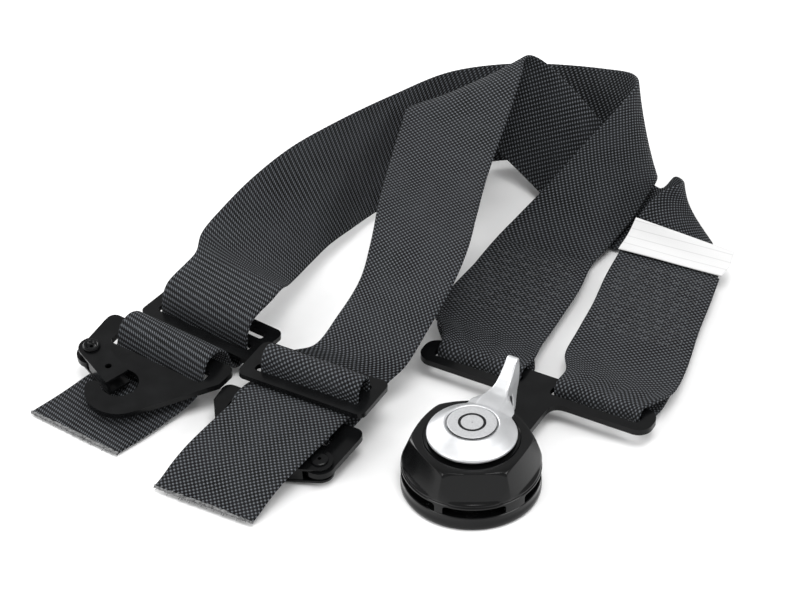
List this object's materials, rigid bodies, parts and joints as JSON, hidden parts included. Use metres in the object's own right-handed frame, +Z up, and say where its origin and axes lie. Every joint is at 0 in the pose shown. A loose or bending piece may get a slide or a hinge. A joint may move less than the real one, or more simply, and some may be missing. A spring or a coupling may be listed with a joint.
{
  "type": "harness crotch strap set",
  "caption": "Rotary cam-lock harness buckle with a double tongue, two black webbing crotch straps, three-bar slides and sprung snap hooks.",
  "frame": {"origin": "centre of the buckle's underside", "axes": "+Z up out of the release lever, +Y from the buckle along the double tongue, +X along the tongue bar toward the labelled strap"},
  "size_m": [0.2587, 0.3392, 0.0649],
  "materials": {
    "webbing": "woven, matt",
    "label": "matt",
    "black_steel": "satin black",
    "black_casting": "satin black",
    "satin_alloy": "satin",
    "bright_steel": "bright"
  },
  "bodies": {
    "harness": {"buckle_base": "black_casting", "buckle_cover": "black_casting", "base_screw_1": "bright_steel", "base_screw_2": "bright_steel", "base_screw_3": "bright_steel", "base_screw_4": "bright_steel", "double_tongue": "black_steel", "left_strap": "webbing", "right_strap": "webbing", "strap_label": "label", "left_slide": "black_steel", "right_slide": "black_steel", "pin_spring_1": "bright_steel", "pin_spring_2": "bright_steel", "pin_spring_3": "bright_steel", "pin_spring_4": "bright_steel", "pin_spring_5": "bright_steel", "lever_spring": "bright_steel"},
    "lever": {"release_lever": "satin_alloy", "lever_badge": "satin_alloy", "spindle": "bright_steel", "spindle_clip": "bright_steel", "cam_disc": "bright_steel"},
    "pin_1": {"locking_pin_1": "bright_steel"},
    "pin_2": {"locking_pin_2": "bright_steel"},
    "pin_3": {"locking_pin_3": "bright_steel"},
    "pin_4": {"locking_pin_4": "bright_steel"},
    "pin_5": {"locking_pin_5": "bright_steel"},
    "left_hook": {"left_hook_plate": "black_steel", "left_gate_rivet": "black_steel", "left_gate_spring": "bright_steel"},
    "right_hook": {"right_hook_plate": "black_steel", "right_gate_rivet": "black_steel", "right_gate_spring": "bright_steel"},
    "left_gate_body": {"left_gate": "black_steel"},
    "right_gate_body": {"right_gate": "black_steel"}
  },
  "joints": [
    {"name": "lever_turn", "type": "hinge", "parent": "harness", "child": "lever", "pos_m": [0, 0, 0.03], "axis": [0, 0, 1], "range_deg": [0, 40], "stiffness_Nm_per_rad": 0.4, "springref_deg": -11.46, "deforming": ["lever_spring"]},
    {"name": "pin_1_lift", "type": "slide", "parent": "harness", "child": "pin_1", "axis": [0, 0, 1], "range_m": [0, 0.0037], "deforming": ["pin_spring_1"]},
    {"name": "pin_2_lift", "type": "slide", "parent": "harness", "child": "pin_2", "axis": [0, 0, 1], "range_m": [0, 0.0037], "deforming": ["pin_spring_2"]},
    {"name": "pin_3_lift", "type": "slide", "parent": "harness", "child": "pin_3", "axis": [0, 0, 1], "range_m": [0, 0.0037], "deforming": ["pin_spring_3"]},
    {"name": "pin_4_lift", "type": "slide", "parent": "harness", "child": "pin_4", "axis": [0, 0, 1], "range_m": [0, 0.0037], "deforming": ["pin_spring_4"]},
    {"name": "pin_5_lift", "type": "slide", "parent": "harness", "child": "pin_5", "axis": [0, 0, 1], "range_m": [0, 0.0037], "deforming": ["pin_spring_5"]},
    {"name": "left_hook_swing", "type": "hinge", "parent": "harness", "child": "left_hook", "pos_m": [-0.159, 0.0036, 0.0145], "axis": [-0.9925, 0.1219, 0], "range_deg": [0, 25]},
    {"name": "right_hook_swing", "type": "hinge", "parent": "harness", "child": "right_hook", "pos_m": [-0.09, -0.007, 0.0105], "axis": [1, 0, 0], "range_deg": [0, 25]},
    {"name": "left_gate_open", "type": "hinge", "parent": "left_hook", "child": "left_gate_body", "pos_m": [-0.19045, -0.01454, 0.01186], "axis": [-0.0146, -0.1192, 0.9928], "range_deg": [0, 28], "stiffness_Nm_per_rad": 0.05, "springref_deg": -14.32, "deforming": ["left_gate_spring"]},
    {"name": "right_gate_open", "type": "hinge", "parent": "right_hook", "child": "right_gate_body", "pos_m": [-0.061, -0.02887, 0.00809], "axis": [0, 0.1097, -0.994], "range_deg": [0, 28], "stiffness_Nm_per_rad": 0.05, "springref_deg": -14.32, "deforming": ["right_gate_spring"]}
  ],
  "couplings": [
    {"joint": "pin_1_lift", "follows": "lever_turn", "m_per_rad": 0.0051566},
    {"joint": "pin_2_lift", "follows": "lever_turn", "m_per_rad": 0.0051566},
    {"joint": "pin_3_lift", "follows": "lever_turn", "m_per_rad": 0.0051566},
    {"joint": "pin_4_lift", "follows": "lever_turn", "m_per_rad": 0.0051566},
    {"joint": "pin_5_lift", "follows": "lever_turn", "m_per_rad": 0.0051566}
  ]
}
